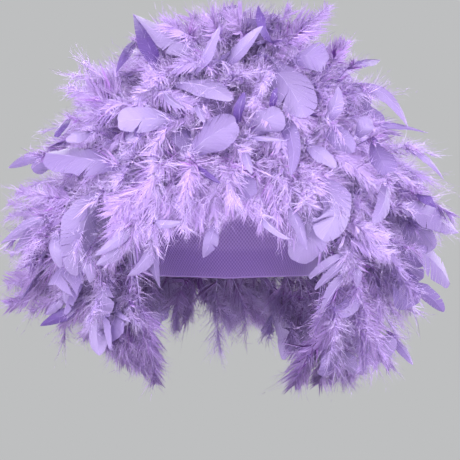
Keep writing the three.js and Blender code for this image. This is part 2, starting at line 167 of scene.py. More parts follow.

# Feathers placed where the photograph shows them, in its pixels: the base of the vane, a knee
# that bows it, and its tip; the vane's width; how blunt its tip is, from 0 to 1; its roll in degrees;
# and its tone, from 0 dark to 1 pale: its dye, with painted shade on the feathers that lie in shade.
# A width of 0 is a plume with no vane.
PLACED_COLUMNS = (
    "base_x", "base_y", "knee_x", "knee_y", "tip_x", "tip_y", "width", "blunt", "roll", "tint",
)
PLACED_TABLE = (
    # the crown, from the left
    (163, 82, 151, 46, 133, 14, 20, 0.1, 50, 0.05),
    (216, 54, 168, 46, 133, 14, 26, 0.25, -15, 0.95),
    (142, 36, 126, 48, 116, 73, 11, 0.2, -45, 0.2),
    (200, 44, 184, 30, 166, 24, 0, 0, 0, 0.5),
    (218, 58, 196, 60, 174, 68, 0, 0, 0, 0.9),
    (190, 78, 204, 58, 220, 26, 22, 0.3, -10, 0.85),
    (217, 74, 238, 54, 263, 26, 14, 0.3, 10, 0.95),
    (277, 68, 262, 86, 250, 108, 0, 0, 0, 0.9),
    (222, 42, 217, 30, 211, 16, 0, 0, 0, 0.3),
    (276, 46, 264, 32, 258, 5, 15, 0.2, 20, 0.02),
    (277, 40, 306, 30, 331, 3, 0, 0, 0, 0.5),
    (282, 44, 308, 34, 327, 11, 0, 0, 0, 0.4),
    (276, 28, 283, 18, 292, 7, 0, 0, 0, 0.5),
    (246, 42, 240, 28, 234, 12, 0, 0, 0, 0.4),
    (286, 64, 303, 48, 326, 63, 26, 1.0, 10, 0.6),
    (256, 55, 288, 74, 305, 117, 44, 0.3, 10, 0.85),
    (330, 66, 336, 54, 346, 41, 0, 0, 0, 0.4),
    (346, 70, 362, 60, 380, 60, 10, 0.6, 15, 0.35),
    (115, 98, 96, 84, 70, 73, 0, 0, 0, 0.5),
    (120, 94, 100, 76, 80, 62, 0, 0, 0, 0.5),
    (110, 106, 92, 94, 66, 88, 0, 0, 0, 0.5),
    (168, 84, 202, 78, 233, 100, 24, 0.4, -20, 0.9),
    (163, 88, 167, 101, 184, 108, 8, 0.4, 0, 0.9),
    (156, 90, 170, 98, 192, 106, 0, 0, 0, 0.8),
    (196, 99, 198, 110, 205, 122, 7, 0.6, 0, 0.9),
    (240, 131, 236, 112, 245, 92, 12, 0.3, 30, 0.05),
    (273, 116, 272, 102, 277, 87, 8, 0.3, 40, 0.05),
    (240, 137, 262, 137, 287, 141, 6, 0.2, 0, 1.0),
    (246, 142, 258, 120, 282, 112, 28, 0.5, 8, 0.85),
    (242, 142, 246, 156, 252, 174, 9, 0.4, 0, 0.9),
    (302, 142, 316, 150, 336, 168, 15, 0.4, 10, 0.9),
    # the left side
    (182, 121, 152, 116, 118, 122, 24, 0.9, 8, 0.95),
    (73, 117, 60, 122, 56, 137, 10, 0.7, 20, 0.02),
    (96, 131, 82, 132, 66, 140, 10, 0.8, 0, 0.9),
    (126, 167, 92, 158, 46, 153, 36, 0.85, 5, 0.55),
    (50, 155, 30, 156, 8, 168, 12, 0.5, 10, 0.4),
    (185, 160, 200, 138, 236, 122, 35, 0.55, -12, 0.7),
    (186, 162, 205, 176, 221, 184, 9, 0.2, 45, 0.1),
    (106, 190, 78, 212, 77, 276, 42, 0.65, -22, 1.0),
    (66, 224, 46, 244, 60, 268, 15, 0.6, 0, 0.95),
    (90, 252, 87, 266, 90, 283, 13, 0.5, 0, 0.9),
    (140, 215, 123, 240, 94, 256, 11, 0.4, -10, 0.9),
    (127, 237, 120, 256, 96, 265, 13, 0.5, 10, 0.9),
    (153, 234, 151, 262, 128, 275, 13, 0.4, 10, 0.8),
    (155, 240, 150, 262, 160, 288, 10, 0.2, -10, 0.6),
    (216, 211, 214, 240, 203, 258, 15, 0.3, 10, 0.6),
    (150, 216, 158, 230, 181, 222, 9, 0.4, 20, 0.95),
    (53, 212, 32, 226, 0, 244, 16, 0.2, -20, 0.8),
    (66, 210, 38, 204, 6, 203, 0, 0, 0, 0.6),
    (70, 200, 40, 194, 14, 192, 0, 0, 0, 0.6),
    (64, 218, 34, 214, 6, 216, 0, 0, 0, 0.6),
    (60, 235, 34, 246, 8, 256, 0, 0, 0, 0.6),
    (70, 250, 40, 262, 12, 270, 0, 0, 0, 0.4),
    (72, 270, 44, 288, 14, 298, 0, 0, 0, 0.5),
    (82, 285, 56, 302, 28, 312, 0, 0, 0, 0.3),
    (62, 262, 34, 276, 4, 286, 0, 0, 0, 0.4),
    (56, 284, 30, 298, 8, 306, 0, 0, 0, 0.4),
    (99, 278, 108, 298, 97, 316, 23, 0.9, 0, 0.8),
    (116, 304, 117, 322, 106, 333, 29, 1.0, 0, 0.7),
    (107, 308, 116, 317, 131, 322, 8, 0.3, 0, 0.7),
    (67, 292, 60, 302, 45, 315, 11, 0.5, 0, 0.8),
    (85, 308, 64, 314, 40, 326, 15, 0.3, 10, 0.1),
    (77, 297, 74, 308, 67, 319, 7, 0.3, 0, 0.7),
    (64, 274, 62, 290, 66, 304, 10, 0.7, 0, 0.8),
    (128, 318, 132, 345, 141, 372, 0, 0, 0, 0.4),
    (138, 326, 146, 356, 157, 386, 0, 0, 0, 0.3),
    (116, 326, 122, 346, 129, 364, 0, 0, 0, 0.4),
    (100, 296, 78, 312, 58, 327, 0, 0, 0, 0.4),
    (112, 300, 96, 322, 82, 338, 0, 0, 0, 0.5),
    (124, 306, 112, 330, 104, 348, 0, 0, 0, 0.4),
    (134, 312, 126, 338, 122, 358, 0, 0, 0, 0.5),
    (132, 300, 142, 326, 146, 352, 0, 0, 0, 0.5),
    (140, 304, 150, 336, 155, 366, 0, 0, 0, 0.6),
    (128, 312, 138, 342, 148, 366, 0, 0, 0, 0.5),
    (142, 320, 150, 344, 156, 374, 0, 0, 0, 0.4),
    (96, 268, 62, 278, 24, 288, 0, 0, 0, 0.7),
    (92, 246, 56, 262, 20, 276, 0, 0, 0, 0.8),
    (150, 195, 130, 214, 112, 238, 0, 0, 0, 0.5),
    (144, 185, 126, 200, 112, 216, 0, 0, 0, 0.4),
    (134, 205, 120, 228, 112, 252, 0, 0, 0, 0.6),
    (128, 225, 118, 246, 106, 268, 0, 0, 0, 0.4),
    # the right side
    (262, 106, 304, 124, 291, 176, 15, 0.4, 35, 0.42),
    (319, 127, 338, 112, 338, 86, 15, 0.3, -20, 0.8),
    (320, 125, 336, 130, 353, 153, 20, 0.4, 15, 0.5),
    (349, 85, 390, 82, 408, 127, 18, 0.3, 10, 0.8),
    (362, 125, 394, 121, 428, 133, 8, 0.1, 30, 0.3),
    (350, 138, 362, 134, 370, 118, 16, 0.8, 0, 0.8),
    (403, 147, 430, 154, 444, 180, 12, 0.2, -10, 0.7),
    (371, 138, 379, 156, 388, 173, 23, 0.6, 25, 0.35),
    (386, 174, 390, 202, 373, 223, 19, 0.3, -10, 0.7),
    (412, 191, 424, 196, 437, 208, 11, 0.2, 25, 0.1),
    (394, 206, 426, 210, 459, 233, 31, 0.2, 5, 0.6),
    (296, 177, 360, 188, 322, 240, 40, 0.6, -12, 0.85),
    (309, 190, 320, 226, 297, 262, 34, 0.8, 6, 0.75),
    (404, 246, 434, 252, 450, 284, 27, 0.7, 0, 0.55),
    (400, 284, 426, 286, 444, 312, 17, 0.6, 12, 0.35),
    (356, 328, 366, 366, 394, 338, 24, 0.7, -15, 0.85),
    (330, 338, 338, 362, 364, 375, 20, 0.4, 0, 0.7),
    (388, 332, 402, 346, 413, 365, 15, 0.3, 0, 0.4),
    (352, 252, 330, 262, 310, 279, 12, 0.6, 5, 0.85),
    (353, 256, 335, 270, 315, 290, 12, 0.6, -5, 0.8),
    (353, 271, 336, 282, 322, 311, 15, 0.5, -10, 0.85),
    (355, 260, 360, 272, 357, 288, 9, 0.5, 0, 0.8),
    (364, 284, 356, 304, 337, 314, 19, 0.5, 15, 0.5),
    (324, 342, 334, 360, 323, 376, 17, 1.0, 0, 0.4),
    (318, 336, 308, 362, 299, 384, 0, 0, 0, 0.3),
    (334, 348, 326, 368, 318, 384, 0, 0, 0, 0.4),
    (346, 352, 346, 370, 352, 383, 0, 0, 0, 0.4),
    (312, 344, 303, 366, 294, 386, 0, 0, 0, 0.3),
    (340, 285, 326, 308, 314, 332, 0, 0, 0, 0.5),
    (344, 306, 332, 328, 318, 350, 0, 0, 0, 0.4),
    (350, 222, 366, 232, 388, 240, 0, 0, 0, 0.8),
    (352, 240, 370, 246, 392, 256, 0, 0, 0, 0.8),
    # the fringe
    (146, 168, 140, 205, 132, 240, 0, 0, 0, 0.5),
    (160, 165, 158, 200, 152, 236, 0, 0, 0, 0.6),
    (172, 165, 172, 200, 168, 236, 0, 0, 0, 0.5),
    (186, 165, 188, 198, 184, 232, 0, 0, 0, 0.6),
    (200, 163, 202, 196, 198, 228, 0, 0, 0, 0.4),
    (214, 162, 217, 190, 214, 216, 0, 0, 0, 0.6),
    (228, 162, 230, 188, 230, 210, 0, 0, 0, 0.4),
    (242, 162, 245, 190, 248, 216, 0, 0, 0, 0.5),
    (256, 163, 259, 194, 264, 228, 0, 0, 0, 0.6),
    (270, 164, 274, 198, 280, 234, 0, 0, 0, 0.4),
    (284, 165, 290, 200, 296, 238, 0, 0, 0, 0.6),
    (298, 166, 304, 202, 310, 244, 0, 0, 0, 0.4),
    (312, 170, 318, 206, 322, 250, 0, 0, 0, 0.5),
    (257, 207, 266, 228, 290, 239, 10, 0.3, 0, 0.9),
    (284, 194, 298, 222, 307, 250, 13, 0.3, 0, 0.7),
)
PLACED_LIFT = 14  # of a placed vane in front of the down
CROWN_LIFT = 30  # more, for what stands up over the crown
CROWN_LIFT_FROM, CROWN_LIFT_TO = 10, 60  # pixels above the crown
PLACED_CAMBER = (0.2, 0.55)
PLACED_ROLL, PLACED_TWIST = 10, 18
PLACED_BARB_LENGTH = (0.8, 1.1)
VANE_FLUFF, FLUFF_GAIN = 0.4, 0.006  # down below a vane, and more for each pixel of width
PLACED_BARE = 0.16
SEWN_ABOVE = 5  # degrees above the edge of the cap, at least
PLACED_TURN = 0.6  # how far a placed vane looks to the camera and not away from the head
PLACED_BELOW = 4  # stations of a placed shaft that are under the down
PLACED_FOOT = 0.3  # of a station, from the base to where the vane begins

# The outer form the placed feathers lie on, and how far it comes forward below the fringe.
FORM_CENTRE = np.array([0.0, 12.0, -95.0]) * MM
FORM_AXES = np.array([160.0, 140.0, 148.0]) * MM
FORM_LOW_DEPTH = 84 * MM
FORM_LOW_FROM, FORM_LOW_TO = -112 * MM, -165 * MM
FORM_ROUNDS = 4  # of finding the depth behind a pixel
BASE_SIZE = 0.92  # of the form where the vanes begin, over the form where they end

# Vanes: strips of barbs on both sides of the shaft, which part here and there.
VANE_STRIPS = 26  # on a side
VANE_HALF_WIDTH = (5, 13)
VANE_FROM = (0.4, 0.58)  # share of the shaft below the vane
VANE_CAMBER = (0.1, 0.7)
VANE_FOOT, VANE_RISE = 0.2, 2.2  # width where the vane begins, and how fast it grows
TIP_POWER, TIP_ROUND = (1.5, 6.0), (0.95, 0.6)  # of a pointed tip and of a blunt one
VANE_SLANT = 0.75  # of the barbs towards the tip, over their reach
VANE_SHARES = (0, 0.55, 1)  # places of a strip's points from shaft to edge
STIR_SHARES = (0, 0.2, 1)  # how far they follow a stir or a split
BARB_STIR = 0.03  # how unevenly the strips lie, over the vane's width
EDGE_NOTCH = 0.05  # the gap between two strips at the vane's edge, over a strip
SPLIT_CHANCE = 0.03
SPLIT_GAP = (0.06, 0.3)  # over the vane's width
SPLIT_NEXT = 0.6  # how far the next strip moves, over the gap
VANE_LOP, PLACED_LOP = 0.4, 0.12  # how much wider one side of a vane can be than half of it
EDGE_WAVE = 0.09
NOISE_KNOTS = 5
SHAFT_SIDES, SHAFT_STEP = 3, 2
SHAFT_RADIUS = (0.6, 0.14)
SHAFT_RISE = 0.12  # above the vane
STRIP_FACES = np.array([(0, 3, 4, 1), (1, 4, 5, 2)])

# The feathers' map: down, shafts and vanes lie above each other. Dye lots of vanes and of sheets lie side
# by side in the vanes' band.
DOWN_BAND, SHAFT_LINE, VANE_BAND = (0.02, 0.42), 0.47, (0.52, 0.98)
VANE_LOTS, SHEET_LOTS = 8, 4
LOTS = VANE_LOTS + SHEET_LOTS
LOT_MARGIN = 0.06
DOWN_SLOT, VANE_SLOT, SHAFT_SLOT = 0, 1, 2  # the order of the feathers' materials


@dataclass
class Part:
    """Faces of one material in a mesh under construction."""
    points: np.ndarray
    faces: np.ndarray
    uv: np.ndarray
    slot: int
    normals: np.ndarray = None  # where they aren't the faces' own


@dataclass
class Feathers:
    """Feathers as arrays, one row each."""
    line: np.ndarray  # points along the shaft
    face: np.ndarray  # the vane's upper side at each point
    vane_from: np.ndarray
    half_width: np.ndarray
    camber: np.ndarray
    blunt: np.ndarray
    # dye from 0 dark to 1 pale; on placed feathers also painted shade where they lie in shade
    tint: np.ndarray
    barb_length: np.ndarray
    plume: np.ndarray
    bare: np.ndarray  # share of the shaft with no fine down
    lop: np.ndarray  # how much wider one side of the vane is than half of it

    @property
    def tangent(self):
        return unit(np.gradient(self.line, axis=1))


def unit(v):
    return v / np.maximum(np.linalg.norm(v, axis=-1, keepdims=True), 1e-9)


def turned(v, axis, angle):
    """v turned about unit axes by angles in radians."""
    c, s = np.cos(angle)[..., None], np.sin(angle)[..., None]
    along = (axis * v).sum(-1, keepdims=True)
    return v * c + np.cross(axis, v) * s + axis * along * (1 - c)


def eased(x, low, high):
    t = np.clip((x - low) / (high - low), 0, 1)
    return t * t * (3 - 2 * t)


def between(ends, share):
    return ends[0] + (ends[1] - ends[0]) * share


def pairs(a, b):
    """All values of a beside those of b, as rows of two."""
    return np.stack(np.broadcast_arrays(a, b), -1).reshape(-1, 2)


def from_face(azimuth):
    """The angle from the face, to either side."""
    return np.abs((azimuth + 180) % 360 - 180)


def outward(azimuth):
    a = np.radians(azimuth)
    return np.stack([np.sin(a), -np.cos(a), np.zeros_like(a)], -1)


def on_head(azimuth, elevation, offset):
    """Points on the head, pushed out along its normal."""
    e = np.radians(elevation)[..., None]
    sphere = outward(azimuth) * np.cos(e) + UP * np.sin(e)
    return HEAD_CENTRE + sphere * HEAD_AXES + unit(sphere / HEAD_AXES) * offset


def row_lines(row, rng):
    """The shafts of a row's feathers."""
    n = row["feathers"]
    span = 360 - 2 * row["gap"]
    azimuth = row["gap"] + span * (np.arange(n) + rng.uniform(0, 1, n)) / n
    rest = eased(from_face(azimuth), FRONT_FULL, FRONT_NONE)

    def blended(key):
        return row["front_" + key] * (1 - rest) + row[key] * rest

    left = np.clip(-np.sin(np.radians(azimuth)), 0, 1) * rest
    fan = FAN * rng.uniform(-1, 1, n) + row["left_tilt"] * left
    sway = np.radians(SWAY * rng.normal(0, 1, n))
    worn = 1 + (row["left_length"] - 1) * left
    length = blended("length") * worn * rng.uniform(*LENGTH_RANGE, n) * MM
    root = on_head(azimuth, row["elevation"] + ROOT_SPREAD * rng.uniform(-1, 1, n), CORD_HEIGHT)
    out = outward(azimuth)
    aside = np.stack([-out[:, 1], out[:, 0], 0 * azimuth], -1)
    line = [root]
    for k in range(STATIONS):
        t = (k + 0.5) / STATIONS
        tilt = np.radians(blended("root_tilt") * (1 - t) + blended("tip_tilt") * t + fan)[:, None]
        lean = np.tan(np.clip(sway * (SWAY_FOOT + SWAY_GAIN * t), -SWAY_LIMIT, SWAY_LIMIT))[:, None]
        step = unit(out * np.cos(tilt) + UP * np.sin(tilt) + aside * lean)
        line.append(line[-1] + step * (length / STATIONS)[:, None])
    return np.stack(line, 1)


def faces_out(line, roll, turn):
    """The upper sides of feathers: away from the head, or a share of turn to the camera, and rolled."""
    tangent = unit(np.gradient(line, axis=1))
    out = unit(unit(line - HEAD_CENTRE) * (1 - turn) + TO_CAMERA * turn)
    face = unit(out - tangent * (out * tangent).sum(-1, keepdims=True))
    return turned(face, tangent, roll)


def row_feathers(row, rng):
    line = row_lines(row, rng)
    n = len(line)
    roll = np.radians(ROLL * rng.normal(0, 1, n))[:, None]
    twist = np.radians(TWIST * rng.normal(0, 1, n))[:, None] * np.linspace(0, 1, STATIONS + 1)
    plumes = np.where(line[:, -1, 1] < FORM_CENTRE[1], FRONT_PLUMES, row["plumes"])
    return Feathers(
        line=line,
        face=faces_out(line, roll + twist, 0),
        vane_from=rng.uniform(*VANE_FROM, n),
        half_width=rng.uniform(*VANE_HALF_WIDTH, n) * MM,
        camber=rng.uniform(*VANE_CAMBER, n),
        blunt=rng.uniform(0, 1, n),
        tint=rng.uniform(*ROW_TINT, n),
        barb_length=rng.uniform(*ROW_BARB_LENGTH, n),
        plume=rng.uniform(0, 1, n) < plumes,
        bare=np.full(n, ROW_BARE),
        lop=rng.uniform(-VANE_LOP, VANE_LOP, n),
    )


def at_pixel(pixel, depth):
    """Points behind pixels of the photograph, at depths along Y."""
    scale = PIXEL * (1 + depth / CAMERA_DISTANCE)
    x = AXIS_X + (pixel[:, 0] - MIDDLE) * scale
    z = AXIS_Z + (MIDDLE - pixel[:, 1]) * scale
    return np.stack([x, depth, z], -1)


def on_form(pixel, size, lift):
    """Points behind pixels on the outer form, taken at a share of its size."""
    depth = np.zeros(len(pixel))
    for _ in range(FORM_ROUNDS):
        place = (at_pixel(pixel, depth) - FORM_CENTRE) / FORM_AXES
        z = place[:, 2] * FORM_AXES[2] + FORM_CENTRE[2]
        forward = between((FORM_AXES[1], FORM_LOW_DEPTH), eased(-z, -FORM_LOW_FROM, -FORM_LOW_TO))
        room = np.maximum(size**2 - place[:, 0] ** 2 - place[:, 2] ** 2, 0)
        depth = FORM_CENTRE[1] - forward * np.sqrt(room) - lift
    return at_pixel(pixel, depth)


def cap_edge(azimuth):
    """The elevation of the cap's edge."""
    return np.interp(from_face(azimuth), *zip(*CAP_EDGE))


def sewn_at(base):
    """Where on the cap feathers are sewn whose vanes start at base."""
    place = unit((base - HEAD_CENTRE) / HEAD_AXES)
    azimuth = np.degrees(np.arctan2(place[:, 0], -place[:, 1]))
    elevation = np.degrees(np.arcsin(place[:, 2]))
    return on_head(azimuth, np.maximum(elevation, cap_edge(azimuth) + SEWN_ABOVE), CORD_HEIGHT)


def placed_lines(table):
    """The shafts of the placed feathers: straight from the cap to the base, then bowed to the tip."""
    pixel = {end: np.stack([table[end + "_x"], table[end + "_y"]], -1) for end in ("base", "knee", "tip")}
    lift = np.where(table["width"] == 0, 0, PLACED_LIFT)

    def in_front(end):
        high = eased(CROWN_PIXEL[1] - pixel[end][:, 1], CROWN_LIFT_FROM, CROWN_LIFT_TO)
        return on_form(pixel[end], 1.0, (lift + CROWN_LIFT * high) * MM)

    base, knee, tip = on_form(pixel["base"], BASE_SIZE, 0), in_front("knee"), in_front("tip")
    root = sewn_at(base)
    below = np.arange(PLACED_BELOW)[None, :, None] / PLACED_BELOW
    above = np.linspace(0, 1, STATIONS + 1 - PLACED_BELOW)[None, :, None]
    hidden = root[:, None] * (1 - below) + base[:, None] * below
    bow = knee[:, None] * 2 * above * (1 - above)
    shown = base[:, None] * (1 - above) ** 2 + bow + tip[:, None] * above**2
    return np.concatenate([hidden, shown], 1)


def placed_feathers(rng):
    """The feathers the photograph shows."""
    table = dict(zip(PLACED_COLUMNS, np.array(PLACED_TABLE, float).T))
    n = len(PLACED_TABLE)
    line = placed_lines(table)
    plume = table["width"] == 0
    fluff = np.where(plume, 1.0, VANE_FLUFF + FLUFF_GAIN * table["width"])
    roll = np.radians(table["roll"] + rng.normal(0, PLACED_ROLL, n))[:, None]
    twist = np.radians(rng.normal(0, PLACED_TWIST, n))[:, None] * np.linspace(0, 1, STATIONS + 1)
    return Feathers(
        line=line,
        face=faces_out(line, roll + twist, PLACED_TURN),
        vane_from=np.full(n, (PLACED_BELOW + PLACED_FOOT) / STATIONS),
        half_width=table["width"] * PIXEL / 2,
        camber=rng.uniform(*PLACED_CAMBER, n),
        blunt=table["blunt"],
        tint=table["tint"],
        barb_length=fluff * rng.uniform(*PLACED_BARB_LENGTH, n),
        plume=plume,
        bare=np.full(n, PLACED_BARE),
        lop=rng.uniform(-PLACED_LOP, PLACED_LOP, n),
    )


def nearest_rows(feathers):
    """The row each feather is sewn into, by the elevation of its root."""
    place = (feathers.line[:, 0] - HEAD_CENTRE) / HEAD_AXES
    elevation = np.degrees(np.arcsin(np.clip(unit(place)[:, 2], -1, 1)))
    rows = np.array([values[ROW_COLUMNS.index("elevation")] for values in ROW_TABLE])
    return np.abs(elevation[:, None] - rows[None]).argmin(1)


def chosen(feathers, keep):
    return Feathers(**{name: value[keep] for name, value in vars(feathers).items()})


def together(a, b):
    return Feathers(**{name: np.concatenate([value, vars(b)[name]]) for name, value in vars(a).items()})


def along_shaft(values, index, t):
    """values, which lie along each shaft, at shares t of the feathers index."""
    place = np.clip(t, 0, 1) * STATIONS
    low = np.minimum(place.astype(int), STATIONS - 1)
    part = (place - low)[..., None]
    return values[index, low] * (1 - part) + values[index, low + 1] * part


def on_shafts(f, index, t):
    """Points at shares t of the shafts index, with the shafts' direction and the upper side there."""
    tangent, face = along_shaft(f.tangent, index, t), along_shaft(f.face, index, t)
    return along_shaft(f.line, index, t), unit(tangent), unit(face)


@dataclass
class Barbs:
    """Barbs of down as arrays, one row each."""
    root: np.ndarray
    start: np.ndarray  # terms of the curve from the root, over the barb's length
    bend: np.ndarray
    curl: np.ndarray
    length: np.ndarray
    tint: np.ndarray

    def path(self, s):
        """Points at shares s of each barb."""
        s = s[..., None]
        curve = self.start[:, None] * s + self.bend[:, None] * s**2 + self.curl[:, None] * s**3
        return self.root[:, None] + self.length[:, None, None] * curve

    def heading(self, s):
        s = s[..., None]
        return unit(self.start[:, None] + 2 * self.bend[:, None] * s + 3 * self.curl[:, None] * s**2)


def grow_barbs(f, rng, wisps_each, low, high, painted_shade):
    """Barbs between shares low and high of the shafts. The barbs of a wisp bend alike."""
    wisps = len(f.line) * wisps_each
    wisp = np.repeat(np.arange(wisps), WISP_BARBS)
    index = wisp // wisps_each
    m = len(index)

    def varied(spread, *shape):
        alike = rng.normal(0, 1, (wisps, *shape)).clip(-SPREAD_LIMIT, SPREAD_LIMIT)
        own = rng.normal(0, 1, (m, *shape)).clip(-SPREAD_LIMIT, SPREAD_LIMIT)
        return spread[0] * alike[wisp] + spread[1] * own

    place = rng.uniform(0, 1, wisps)[wisp] ** WISP_CROWDING
    share = (place + rng.normal(0, WISP_REACH, m)).clip(0, 1)
    root, tangent, face = on_shafts(f, index, between((low[index], high[index]), share))
    across = np.cross(tangent, face) * np.where(wisp % 2, 1, -1)[:, None]
    lift = np.radians(varied(LIFT_SPREAD))[:, None]
    side = across * np.cos(lift) + face * np.sin(lift)
    angle = np.radians(BARB_ANGLE - BARB_CLOSING * share + varied(ANGLE_SPREAD))[:, None]
    curl = varied(CURL_SPREAD, 3)
    fade = np.where(f.plume[index], 1 - PLUME_FADE * share**2, 1.0) * f.barb_length[index]
    # painted shade: lowers the tint of the under-down, standing in for the depths of the down
    tint = f.tint[index] * TINT_OWN + TINT_BASE + varied(TINT_SPREAD) - painted_shade
    bend = BEND_FORWARD * tangent + varied(BEND_SPREAD, 3) - curl - BEND_DOWN * UP
    longest = rng.uniform(*BARB_LENGTH, wisps)[wisp]
    return Barbs(
        root=root,
        start=tangent * np.cos(angle) + side * np.sin(angle),
        bend=bend,
        curl=curl,
        length=longest * rng.uniform(BARB_SHORTEST, 1, m) * fade * MM,
        tint=tint.clip(*TINT_RANGE),
    )


def facing(points, rng):
    """Directions away from the head, much stirred."""
    return unit(unit(points - HEAD_CENTRE) + RIBBON_STIR * rng.normal(0, 1, points.shape))


def soft_normals(points, start, rng):
    """Normals of the plume as a whole, so that its down takes light as one soft body."""
    own = PLUME_ROUND * start + BARB_ROUND * rng.normal(0, 1, start.shape)
    return unit(unit(points - HEAD_CENTRE) + own)


def in_lot(lot, across):
    """Where points lie across the feathers' map, at shares across their dye lot."""
    return (lot + between((LOT_MARGIN, 1 - LOT_MARGIN), across)) / LOTS


def dye_lot(tint, lots):
    return np.floor(tint * lots).clip(0, lots - 1)


def sheet_barbs(f, rng, index, share, hand):
    """Barbs that bend as one sheet, at shares along it on the feathers index, and the sheet's upper side."""
    m = len(index)

    def slow():
        swing = slow_noise(rng, m // SHEET_BARBS, share[:SHEET_BARBS])
        return swing.clip(-SPREAD_LIMIT, SPREAD_LIMIT).ravel()

    root, tangent, face = on_shafts(f, index, between(SHEET_SPAN, share))
    lift = np.radians(LIFT_WAVE * slow() + SHEET_LIFT)[:, None]
    side = np.cross(tangent, face) * hand * np.cos(lift) + face * np.sin(lift)
    angle = SHEET_ANGLE - SHEET_CLOSING * share + ANGLE_WAVE * slow()
    angle = np.radians(angle + rng.normal(0, SHEET_ANGLE_SPREAD, m))[:, None]
    sag = (SHEET_SAG + SAG_WAVE * slow())[:, None]
    curl = CURL_WAVE * slow()[:, None] * face
    outline = between((SHEET_FOOT, 1), eased(share, 0, SHEET_FULL)) * (1 - SHEET_FADE * share**2)
    longest = rng.uniform(*SHEET_LENGTH, len(f.line))[index] * outline
    barbs = Barbs(
        root=root,
        start=tangent * np.cos(angle) + side * np.sin(angle),
        bend=SHEET_FORWARD * tangent - sag * face - curl,
        curl=curl,
        length=longest * rng.uniform(SHEET_SHORTEST, 1, m) * f.barb_length[index] * MM,
        tint=f.tint[index],
    )
    return barbs, unit(face + SHEET_STIR * rng.normal(0, 1, face.shape))


def sheet_parts(f, rng):
    """A sheet on each side of the shafts, dyed in lots of its own."""
    n = len(f.line)
    index = np.repeat(np.arange(n), 2 * SHEET_BARBS)
    share = np.tile(np.linspace(0, 1, SHEET_BARBS), 2 * n)
    hand = np.tile(np.repeat([1, -1], SHEET_BARBS), n)[:, None]
    barbs, upper = sheet_barbs(f, rng, index, share, hand)
    ribbons, tips = barb_parts(barbs, rng, SHEET_WIDTH, upper)
    lot = VANE_LOTS + dye_lot(f.tint[index], SHEET_LOTS)[:, None]
    across = 0.5 + 0.5 * hand * BARB_CORNERS
    along = (share + rng.normal(0, SHEET_STREAK, len(share))).clip(0, 1)[:, None]
    ribbons.uv = pairs(in_lot(lot, across), between(VANE_BAND, along))
    ribbons.slot = VANE_SLOT
    tips.slot = VANE_SLOT
    return [ribbons, tips]


def barb_parts(barbs, rng, widths, upper=None):
    """Each barb as a tapering ribbon: its flat stretch, and its tip on the same points."""
    m = len(barbs.root)
    steps = np.repeat(BARB_STEPS[None], m, 0)
    path = barbs.path(steps)
    look = facing(barbs.root, rng) if upper is None else upper
    edge = unit(np.cross(barbs.heading(steps), look[:, None]))
    half = rng.uniform(*widths, m)[:, None, None] * MM / 2 * BARB_TAPER[:, None]
    body, rim = path[:, :2], edge[:, :2] * half
    sides = np.stack([body - rim, body + rim], 2).reshape(m, 4, 3)
    points = np.concatenate([sides, path[:, 2:]], 1)
    uv = pairs(barbs.tint[:, None], between(DOWN_BAND, BARB_CORNERS))
    base = len(BARB_CORNERS) * np.arange(m)[:, None]
    normals = soft_normals(points, barbs.start[:, None], rng)
    return [
        Part(points.reshape(-1, 3), base + BARB_FACE, uv, DOWN_SLOT, normals.reshape(-1, 3)),
        Part(None, base + BARB_TIP, None, DOWN_SLOT),
    ]


def barbule_part(barbs, rng):
    """The fuzz on the barbs: short slips that leave them at a small angle."""
    m = len(barbs.root)
    s = rng.uniform(*BARBULE_PLACE, (m, BARBULES))
    root = barbs.path(s)
    along = unit(barbs.heading(s) + BARBULE_STRAY * rng.normal(0, 1, root.shape))
    length = rng.uniform(*BARBULE_LENGTH, (m, BARBULES, 1)) * MM
    edge = unit(np.cross(along, facing(root, rng))) * BARBULE_WIDTH * MM / 2
    points = np.stack([root - edge, root + edge, root + along * length], 2)
    normals = soft_normals(points, barbs.start[:, None, None], rng).reshape(-1, 3)
    points = points.reshape(-1, 3)
    height = between(DOWN_BAND, np.stack([s, s, np.minimum(s + BARBULE_FADE, 1)], -1))
    tint = (barbs.tint[:, None] + BARBULE_TINT * rng.normal(0, 1, s.shape)).clip(*TINT_RANGE)
    faces = np.arange(len(points)).reshape(-1, 3)
    return Part(points, faces, pairs(tint[..., None], height), DOWN_SLOT, normals)


def all_down(f, rng, wisps):
    """The fine down with its fuzz, and the under-down."""
    top = np.where(f.plume, DOWN_TO_PLUME, f.vane_from + DOWN_OVER_VANE)
    fine = grow_barbs(f, rng, wisps, f.bare, top, 0)
    low = np.full(len(top), UNDER_FROM)
    high = np.where(f.plume, UNDER_TO_PLUME, UNDER_TO_VANE)
    under = grow_barbs(f, rng, UNDER_WISPS, low, high, UNDER_PAINTED_SHADE)
    return [
        *barb_parts(fine, rng, BARB_WIDTH),
        barbule_part(fine, rng),
        *barb_parts(under, rng, UNDER_WIDTH),
    ]


def vane_outline(u, blunt):
    """Half the vane's width over its widest, at shares u of its length."""
    rise = np.minimum(1, VANE_FOOT + VANE_RISE * u)
    return rise * (1 - u ** between(TIP_POWER, blunt)) ** between(TIP_ROUND, blunt)


def slow_noise(rng, n, u):
    """n rows of smooth noise at shares u, through random knots."""
    knots = rng.normal(0, 1, (n, NOISE_KNOTS))
    place = u * (NOISE_KNOTS - 1)
    low = np.minimum(place.astype(int), NOISE_KNOTS - 2)
    blend = eased(place - low, 0, 1)
    return knots[:, low] * (1 - blend) + knots[:, low + 1] * blend


